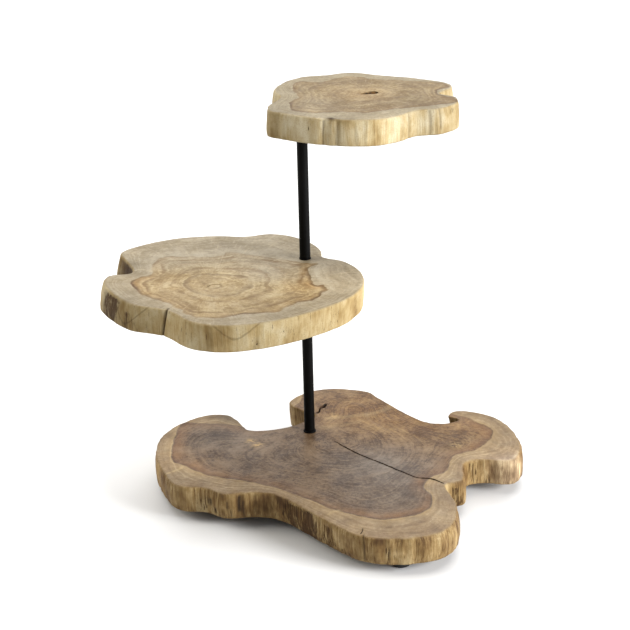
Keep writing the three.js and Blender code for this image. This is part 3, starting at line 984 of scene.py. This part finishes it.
BASE_LOOK = dict(
    shake=3.4, ring_width=2.6, border=0.8, border_shake=6, contrast=0.1,
    grain=(0.07, 0.06, 0.02, 0.34, 0.3, 0.04, 0.17), fleck=(1.7, 26), sap_contrast=0.75, sap_lines=0.7,
    heart=[(0, (79, 59, 42)), (0.3, (113, 90, 68)), (0.65, (134, 110, 85)), (1, (152, 127, 101))],
    warm=[(0, (106, 70, 34)), (0.4, (145, 107, 62)), (0.7, (165, 127, 78)), (1, (193, 156, 100))],
    # The next ramp is the greyer colour of the painted sheen.
    cool=[(0, (95, 82, 72)), (0.5, (126, 112, 99)), (1, (153, 140, 126))],
    sap=[(0, (134, 108, 76)), (0.4, (158, 132, 98)), (0.75, (173, 149, 114)), (1, (192, 169, 133))],
    warm_share=0.9, cool_share=0.9,
    border_bands=[
        (3, 3, 20, (172, 125, 78), 0.6), (2, 2, 7, (88, 58, 38), 0.6),
        (-0.5, 3.5, 0.8, (206, 174, 116), 0.35), (-1, 16, 1, (200, 169, 117), 0.4),
    ],
    ring_lines=[
        (62, 6, 1.5, (80, 60, 46), 0.25), (84, 1.5, 5, (158, 132, 106), 0.25),
        (98, 6, 2, (80, 58, 44), 0.3), (118, 5, 1.5, (86, 62, 46), 0.3),
    ],
    pore=(70, 48, 34), pore_share=0.25, knot=(206, 172, 118), ray=(176, 152, 124), ray_share=0.06,
    edge=[(0, (92, 64, 34)), (0.3, (140, 109, 65)), (0.65, (176, 146, 96)), (1, (214, 188, 138))],
    fibre=(0.15, 0.5), speckle=0.3, edge_speck=(110, 78, 44),
    bark_colours=[(0.25, (42, 24, 10)), (0.5, (80, 52, 22)), (0.8, (120, 86, 43))], stain=(34, 22, 16),
    crack=(80, 55, 36), blotch=(0.74, 0.73, 0.74, 1), pale_colour=0.78, pale_wall=1, border_floor=0.45,
    scar=(214, 188, 138), relief=0.9, rough=(0.3, 0.46), gloss=0.16,
)
MIDDLE_LOOK = dict(
    shake=7, ring_width=4.2, border=1.2, border_shake=10, contrast=0.1,
    grain=(0.1, 0.05, 0.1, 0.3, 0.25, 0.08, 0.12), fleck=(3, 16), sap_contrast=0.8, sap_lines=0.3,
    heart=[(0, (142, 116, 76)), (0.4, (175, 151, 108)), (0.7, (191, 169, 126)), (1, (208, 189, 148))],
    warm=[(0, (148, 118, 78)), (0.5, (176, 149, 108)), (1, (194, 170, 132))],
    # The next ramp is the greyer colour of the painted sheen.
    cool=[(0, (142, 131, 110)), (0.5, (168, 158, 138)), (1, (194, 185, 165))],
    sap=[(0, (148, 131, 101)), (0.4, (168, 152, 123)), (0.75, (182, 167, 139)), (1, (197, 184, 158))],
    warm_share=0.8, cool_share=0.9,
    border_bands=[(1, 2, 15, (168, 130, 80), 0.6), (0.6, 1.6, 5, (96, 68, 38), 1)],
    ring_lines=[
        (69, 4, 1.5, (120, 88, 50), 0.7), (58, 5, 1.2, (140, 108, 66), 0.35),
        (45, 6, 1.5, (124, 92, 54), 0.45), (31, 9, 2.5, (112, 82, 48), 0.65),
        (19, 4, 1.2, (140, 108, 70), 0.5), (10, 3, 1.5, (120, 94, 66), 0.45), (5, 2, 1, (112, 90, 66), 0.5),
    ],
    pore=(120, 92, 60), pore_share=0.22, knot=(150, 116, 76), ray=(206, 190, 160), ray_share=0.35,
    edge=[(0, (160, 131, 82)), (0.35, (190, 165, 115)), (0.7, (206, 185, 139)), (1, (219, 202, 161))],
    fibre=(0.08, 0.3), speckle=0.35, edge_speck=(164, 132, 86),
    bark_colours=[(0.25, (58, 39, 22)), (0.5, (92, 67, 40)), (0.8, (128, 98, 60))], stain=(64, 40, 16),
    crack=(130, 92, 50), blotch=(0.84, 0.83, 0.82, 1), pale_colour=1.05, pale_wall=0.75, border_floor=0.22,
    scar=(216, 200, 166), relief=0.45, rough=(0.38, 0.54), gloss=0.12,
)
TOP_LOOK = dict(
    MIDDLE_LOOK, shake=4.2, ring_width=2.8, grain=(0.08, 0.05, 0.05, 0.31, 0.28, 0.07, 0.16), fleck=(2, 16),
    heart=[(0, (128, 104, 70)), (0.4, (152, 129, 92)), (0.7, (165, 143, 105)), (1, (183, 162, 123))],
    warm=[(0, (150, 118, 74)), (0.5, (178, 148, 102)), (1, (200, 174, 128))],
    sap=[(0, (150, 134, 104)), (0.4, (168, 153, 123)), (0.75, (180, 166, 137)), (1, (194, 181, 154))],
    border_bands=[(1, 2, 10, (142, 110, 70), 0.5), (0.6, 1.6, 3.5, (100, 72, 44), 0.85)],
    ring_lines=[
        (54, 3, 1.5, (110, 84, 56), 0.5), (47, 4, 1.2, (120, 94, 66), 0.35),
        (28, 5, 1.5, (122, 96, 68), 0.3),
    ],
    edge=[(0, (170, 142, 92)), (0.35, (203, 180, 132)), (0.7, (219, 201, 160)), (1, (235, 221, 187))],
    fibre=(0.1, 0.34), contrast=0.085, pale_wall=1, border_floor=0.4, relief=0.55,
)
base_wood = wood("base_wood", BASE_LOOK)
middle_wood = wood("tier_wood_middle", MIDDLE_LOOK)
top_wood = wood("tier_wood_top", TOP_LOOK)

for node, look, body, slot, material in (
    ("base_slab", BASE, "stand", "base_wood", base_wood),
    ("middle_slab", MIDDLE, "middle_tier", "tier_wood", middle_wood),
    ("top_slab", TOP, "top_tier", "tier_wood", top_wood),
):
    Slice(node, look).build.finish(node.replace("slab", "slice"), body, slot, [node], material)


def black_iron():
    g = Graph("black_iron")
    scale = g.noise(2.6, 4, 0.65, shift=2)
    wide = g.noise(24, 2, tall=60, shift=5)
    both = g.add(g.times(scale, 0.6), g.times(wide, 0.4))
    tint = g.ramp(both, (0.3, (7, 6, 5)), (0.55, (13, 12, 11)), (0.75, (24, 22, 20)))
    g.bump(g.add(scale, g.times(wide, 0.6)), 0.12)
    return g.finish(tint, g.step(scale, 0.3, 0.7, 0.42, 0.62), Specular_IOR_Level=0.06)


def plated_steel():
    g = Graph("zinc_steel")
    spangle = g.cells(2.2, feature="SMOOTH_F1")
    film = g.noise(5, 3, 0.6, shift=9)
    tint = g.ramp(film, (0.3, (150, 154, 158)), (0.6, (184, 187, 190)), (0.8, (200, 198, 186)))
    g.bump(g.add(g.times(spangle, 0.4), g.noise(0.8, 2)), 0.03)
    rough = g.step(g.add(g.times(film, 0.7), g.times(spangle, 0.3)), 0.25, 0.75, 0.24, 0.42)
    return g.finish(tint, rough, Metallic=1.0)


def brass():
    g = Graph("insert_brass")
    film = g.noise(4, 3, 0.6, shift=14)
    tint = g.ramp(film, (0.3, (176, 138, 70)), (0.6, (206, 168, 92)), (0.8, (218, 184, 112)))
    g.bump(g.noise(0.7, 2, tall=0.12), 0.03)
    return g.finish(tint, g.step(film, 0.3, 0.7, 0.22, 0.4), Metallic=1.0)


def foot_rubber():
    g = Graph("foot_rubber")
    grit = g.noise(0.5, 3, 0.6, shift=4)
    dust = g.step(g.noise(3.5, 3, shift=8), 0.5, 0.75)
    tint = g.mix(g.times(dust, 0.3), g.ramp(grit, (0.3, (18, 18, 18)), (0.7, (34, 33, 32))), (70, 67, 62))
    g.bump(grit, 0.08)
    return g.finish(tint, g.step(dust, 0.0, 1.0, 0.62, 0.82))


FINISHES = {
    "black_iron": black_iron(), "zinc_steel": plated_steel(),
    "insert_brass": brass(), "foot_rubber": foot_rubber(),
}

# --- The turned pieces

SIDES = 48
M8_RADIUS, M8_ROOT, M8_PITCH = 4.0, 3.35, 1.25
TAPPED_RIDGE, TAPPED_DEPTH = 4.08, 24
THREAD_STEPS = 6  # rows of vertices to one turn of a thread
TURN = np.linspace(0, 2 * math.pi, SIDES, endpoint=False)
SLOTS = {part["node"]: part["material_slot"] for part in frame["record"]["subparts"]}
BODIES = {node: body for body, nodes in frame["record"]["behaviour"]["bodies"].items() for node in nodes}


def helix(crest, root, pitch, low, high, ease=(0, 0), taper=0):
    """A profile's rows along a screw thread, chamfered by ease at each end, narrower by taper at the top."""
    rows = []
    for z in np.linspace(low, high, max(2, round((high - low) / pitch * THREAD_STEPS) + 1)):
        place = (z / pitch - TURN / (2 * math.pi)) % 1
        groove = np.clip(1.3 * np.abs(2 * place - 1) - 0.15, 0, 1)
        radius = crest + (root - crest) * groove - taper * (z - low) / (high - low)
        for end, size in ((z - low, ease[0]), (high - z, ease[1])):
            if size:
                radius = np.minimum(radius, crest - size + end)
        rows.append((radius, z))
    return rows


def tapped(low, high):
    """A profile's rows down a tapped M8 hole."""
    return helix(M8_CLEARANCE, TAPPED_RIDGE, M8_PITCH, low, high)[::-1]


def arc(x, z, radius, start, end, steps=5):
    """A profile's points round a corner, by angles in degrees from the radius outwards."""
    turns = np.radians(np.linspace(start, end, steps))
    return [(x + radius * math.cos(turn), z + radius * math.sin(turn)) for turn in turns]


class Turned(Builder):
    """A piece turned about its CAD node's axis, from profiles of (radius, height above the node's foot).

    A profile runs outwards from the axis underneath, up the outside and back in. A radius of 0 is the axis,
    and a list of radii is one for each side.
    """

    def __init__(self, node):
        super().__init__()
        self.node = node
        low, high = span(node)
        self.x, self.y, _ = centre(node)
        self.foot, self.height = low[2], high[2] - low[2]

    def ring(self, radius, z):
        return self.add(circle(radius, self.x, self.y, self.foot + z, SIDES))

    def surface(self, profile, closed=False):
        """Adds the profile's surface and returns its rings."""
        tips = [profile[k] for k in (0, -1) if not closed and np.all(profile[k][0] == 0)]
        rings = [self.ring(radius, z) for radius, z in profile if not np.all(radius == 0)]
        for below, above in zip(rings, rings[1:] + rings[:1] if closed else rings[1:]):
            self.bridge(below, above)
        for _, z in tips:
            tip = self.add([(self.x, self.y, self.foot + z)])[0]
            self.fan(rings[0][::-1] if z == profile[0][1] else rings[-1], tip)
        return rings

    def done(self, profile=(), closed=False):
        """Makes the piece, after adding the surface of a profile where one is given."""
        if profile:
            self.surface(profile, closed)
        slot = SLOTS[self.node]
        return self.finish(self.node + "_detail", BODIES[self.node], slot, [self.node], FINISHES[slot], 30)


def rod(node):
    """Round bar with eased ends, tapped M8 at both, and very slightly uneven under its paint."""
    piece = Turned(node)
    top, radius = piece.height, 6.0
    profile = [(0, TAPPED_DEPTH + 1.5)] + tapped(0.6, TAPPED_DEPTH)
    profile += [(4.9, 0), (radius - 0.8, 0)] + arc(radius - 0.8, 0.8, 0.8, -75, 0)
    for z in np.arange(3, top - 3, 3.0):
        uneven = 0.5 + 0.5 * ripple(circle(radius, 0, 0, z, SIDES), 7, 26, piece.foot * 0.1)
        profile.append((radius - 0.09 * uneven, z))
    profile += arc(radius - 0.8, top - 0.8, 0.8, 0, 75) + [(radius - 0.8, top), (4.9, top)]
    profile += tapped(top - TAPPED_DEPTH, top - 0.6) + [(0, top - TAPPED_DEPTH - 1.5)]
    piece.done(profile)


def stud(node):
    piece = Turned(node)
    rows = helix(M8_RADIUS, M8_ROOT, M8_PITCH, 0.0, piece.height, (1.0, 1.0))
    piece.done([(0, 0.0)] + rows + [(0, piece.height)])


def washer(node, outer, ease):
    """A flat ring with rounded edges."""
    piece = Turned(node)
    top, inner = piece.height, M8_CLEARANCE
    profile = arc(inner + 0.2, 0.2, 0.2, 180, 270, 3) + arc(outer - ease, ease, ease, 270, 360)
    profile += arc(outer - ease, top - ease, ease, 0, 90) + arc(inner + 0.2, top - 0.2, 0.2, 90, 180, 3)
    piece.done(profile, closed=True)


def lock_washer(node):
    """A split spring washer, its two ends a little apart in height."""
    piece = Turned(node)
    inner, outer, slot, rise, ease = M8_CLEARANCE, 6.94, 2.0, 0.35, 0.25
    thick = piece.height - rise
    section = [(inner, ease), (inner + ease, 0), (outer - ease, 0), (outer, ease), (outer, thick - ease),
               (outer - ease, thick), (inner + ease, thick), (inner, thick - ease)]
    opening = math.asin(slot / 2 / inner)
    loops = []
    for share in np.linspace(0, 1, SIDES + 1):
        turn = opening + share * (2 * math.pi - 2 * opening)
        x, y, lift = math.cos(turn), math.sin(turn), piece.foot + rise * (1 - share)
        loops.append(piece.add([(piece.x + r * x, piece.y + r * y, z + lift) for r, z in section]))
    for here, there in zip(loops, loops[1:]):
        piece.bridge(there, here)
    piece.faces.append(tuple(int(v) for v in loops[0]))
    piece.faces.append(tuple(int(v) for v in loops[-1][::-1]))
    piece.done()


def hex_bolt(node):
    """An M8 hexagon bolt, head down: chamfered head, washer face, plain shank and thread."""
    piece = Turned(node)
    flat, tall, face = 6.48, 5.3, 0.3  # half the width across flats, the head's height and its washer face's
    sixth = math.pi / 3
    hexagon = flat / np.cos((TURN + sixth / 2) % sixth - sixth / 2)
    profile = [(0, 0.25), (3.6, 0.25), (4.0, 0.0), (flat * 0.93, 0.0)]
    for z in (0.12, 0.25, 0.4, 0.55, 0.7, 0.85, 1.0):
        profile.append((np.minimum(hexagon, flat * 0.93 + z * math.tan(math.radians(60))), z))
    profile += [(hexagon, tall - face), (flat * 0.95, tall - face), (flat * 0.95, tall)]
    profile += [(M8_RADIUS + 0.2, tall), (M8_RADIUS - 0.02, tall + 0.25), (M8_RADIUS - 0.02, 24.0)]
    profile += helix(M8_RADIUS, M8_ROOT, M8_PITCH, 24.8, piece.height, (0, 1.0)) + [(0, piece.height)]
    piece.done(profile)


def threaded_insert(node):
    """A brass insert: flange underneath, coarse thread for the wood outside, M8 inside."""
    piece = Turned(node)
    top = piece.height
    profile = [(5.0, 0.0), (8.6, 0.0)] + arc(8.6, 0.4, 0.4, -60, 0) + [(9.0, 1.3), (8.7, 1.6), (6.2, 1.6)]
    profile += helix(6.5, 5.5, 2.5, 2.0, top, (0.4, 1.0)) + [(4.9, top)]
    profile += tapped(0.6, top - 0.6)
    piece.done(profile, closed=True)


def foot(node):
    """A moulded rubber bumper: grooved sole, rounded edges, moulding line and a recess for its screw."""
    piece = Turned(node)
    top, line = piece.height, 6.2
    profile = [(5.0, 0.3), (5.3, 0.0)]
    for groove in (6.4, 7.6):
        profile += [(groove - 0.3, 0.0), (groove, 0.35), (groove + 0.3, 0.0)]
    profile += arc(8.5, 1.5, 1.5, -90, -8, 6)
    side = lambda z: 10 + 1.45 * (z - 1.5) / (top - 3)
    profile += [(side(line - 0.5), line - 0.5), (side(line) - 0.25, line), (side(line + 0.5), line + 0.5)]
    profile += arc(10.5, top - 1.0, 1.0, 0, 90, 6) + [(2.6, top), (2.3, top - 0.3), (2.3, 4.5), (5.0, 4.5)]
    piece.done(profile, closed=True)


def foot_screw(node):
    """A pan-head wood screw, head down, with a cross recess, a plain neck, a coarse thread and a point."""
    piece = Turned(node)
    head, tall, shank, point = 4.2, 2.6, 2.0, 4.0
    root, pitch, neck, top = 1.35, 1.6, 8.0, piece.height
    profile = arc(head - 0.95, 0.95, 0.95, -90, 0)
    profile += [(head, tall - 0.15), (head - 0.15, tall), (shank, tall), (shank, neck)]
    profile += helix(shank, root, pitch, neck + 0.4, top - point)
    profile += helix(shank, root, pitch, top - point, top - 0.3, taper=1.3) + [(0, top)]
    rings = piece.surface(profile)
    loops = []
    for half_length, half_width, z in ((1.5, 0.32, 1.3), (2.4, 0.5, 0.0)):
        arm = [(half_length, -half_width), (half_length, half_width), (half_width, half_width)]
        quarters = (1, 0), (0, 1), (-1, 0), (0, -1)
        cross = [(x * c - y * s, x * s + y * c) for c, s in quarters for x, y in arm]
        loops.append(piece.add([(piece.x + x, piece.y + y, piece.foot + z) for x, y in cross]))
    piece.bridge(*loops)
    piece.fan(loops[0][::-1], piece.add([(piece.x, piece.y, piece.foot + 1.3)])[0])
    known = piece.all_points()[:, :2]
    rim, cross = rings[0], loops[1]
    both = np.concatenate([rim, cross])
    count = len(rim)
    edges = [(k, (k + 1) % count) for k in range(count)]
    edges += [(count + k, count + (k + 1) % len(cross)) for k in range(len(cross))]
    places, _, triangles = delaunay_2d_cdt([Vector(known[v]) for v in both], edges, [], 0, 1e-5)[:3]
    for triangle in triangles:
        middle = np.mean([places[v] for v in triangle], axis=0)[None]
        if inside(middle, known[rim])[0] and not inside(middle, known[cross])[0]:
            piece.faces.append(tuple(int(both[v]) for v in triangle[::-1]))
    piece.done()


for node in ("lower_rod", "upper_rod"):
    rod(node)
for node in ("joining_stud", "top_stud"):
    stud(node)
washer("rod_base_washer", 7.2, 0.6)
for node in ("middle_lower_washer", "middle_upper_washer", "top_washer"):
    washer(node, 6.5, 0.3)
washer("base_bolt_washer", 12.0, 0.3)
lock_washer("base_lock_washer")
hex_bolt("base_bolt")
threaded_insert("top_insert")
for side in ("front", "left", "right", "back"):
    foot("foot_" + side)
    foot_screw("foot_screw_" + side)

# --- Stage, light and camera

CAMERA_PLACE = Vector((0.0013, -1.7812, 0.96155))
CAMERA_PITCH = math.radians(22.8)
CAMERA_ROLL = math.radians(-1.4)
FOCAL_LENGTH = 102.857  # mm, on a sensor 36 mm wide

forward = Vector((0, math.cos(CAMERA_PITCH), -math.sin(CAMERA_PITCH)))
upright = Vector((0, math.sin(CAMERA_PITCH), math.cos(CAMERA_PITCH)))
sideways = Vector((1, 0, 0))
right = sideways * math.cos(CAMERA_ROLL) + upright * math.sin(CAMERA_ROLL)
up = upright * math.cos(CAMERA_ROLL) - sideways * math.sin(CAMERA_ROLL)
lens = bpy.data.cameras.new("camera")
lens.lens, lens.sensor_width, lens.clip_start, lens.clip_end = FOCAL_LENGTH, 36, 0.05, 50
camera = bpy.data.objects.new("camera", lens)
bpy.context.scene.collection.objects.link(camera)
pose = Matrix((right, up, -forward)).transposed().to_4x4()
pose.translation = CAMERA_PLACE
camera.matrix_world = pose
bpy.context.scene.camera = camera


def floor_and_backdrop():
    """One pale sheet: a floor that curves up well behind the stand, lower than its tops reflect."""
    half, front, back, bend, wall = 9.0, -9.0, 5.0, 0.8, 0.2
    profile = [(front, 0.0), (back, 0.0)]
    turns = np.linspace(0.1, math.pi / 2, 12)
    profile += [(back + bend * math.sin(turn), bend * (1 - math.cos(turn))) for turn in turns]
    profile.append((back + bend, bend + wall))
    points = [(x, y, z) for y, z in profile for x in (-half, half)]
    faces = [(2 * k, 2 * k + 1, 2 * k + 3, 2 * k + 2) for k in range(len(profile) - 1)]
    mesh = bpy.data.meshes.new("floor")
    mesh.from_pydata(points, [], faces)
    mesh.shade_smooth()
    sheet = bpy.data.objects.new("floor", mesh)
    bpy.context.scene.collection.objects.link(sheet)
    g = Graph("floor")
    tint = g.ramp(g.noise(400, 2), (0.3, (0.63, 0.63, 0.63, 1)), (0.7, (0.65, 0.65, 0.65, 1)))
    mesh.materials.append(g.finish(tint, 0.5, Specular_IOR_Level=0.25))
    sheet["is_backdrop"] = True


floor_and_backdrop()


def softbox(name, place, aim, size, watts, tint=(1, 1, 1)):
    light = bpy.data.lights.new(name, "AREA")
    light.shape, light.energy, light.color = "RECTANGLE", watts, tint
    light.size, light.size_y = size
    lamp = bpy.data.objects.new(name, light)
    lamp.location = place
    lamp.rotation_euler = (Vector(aim) - Vector(place)).to_track_quat("-Z", "Y").to_euler()
    bpy.context.scene.collection.objects.link(lamp)


AIM = (0, 0, 0.2)
softbox("overhead", (0, 1.7, 2.7), (0, 0.9, 0), (4.6, 4.4), 215)
softbox("left", (-2.4, 0.1, 1.5), AIM, (1.5, 1.5), 48, (1, 0.96, 0.87))
softbox("front_right", (2.3, -1.2, 1.0), AIM, (1.2, 1.2), 150, (0.985, 0.99, 1.0))
world = bpy.data.worlds.new("studio")
world.use_nodes = True
world.node_tree.nodes["Background"].inputs[0].default_value = (1, 1, 1, 1)
world.node_tree.nodes["Background"].inputs[1].default_value = 0.3
bpy.context.scene.world = world
bpy.context.scene.view_settings.view_transform = "Standard"
bpy.context.scene.view_settings.look = "None"

visual_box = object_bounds()
{"cad": [list(corner) for corner in CAD_BOX], "visual": [list(corner) for corner in visual_box]}
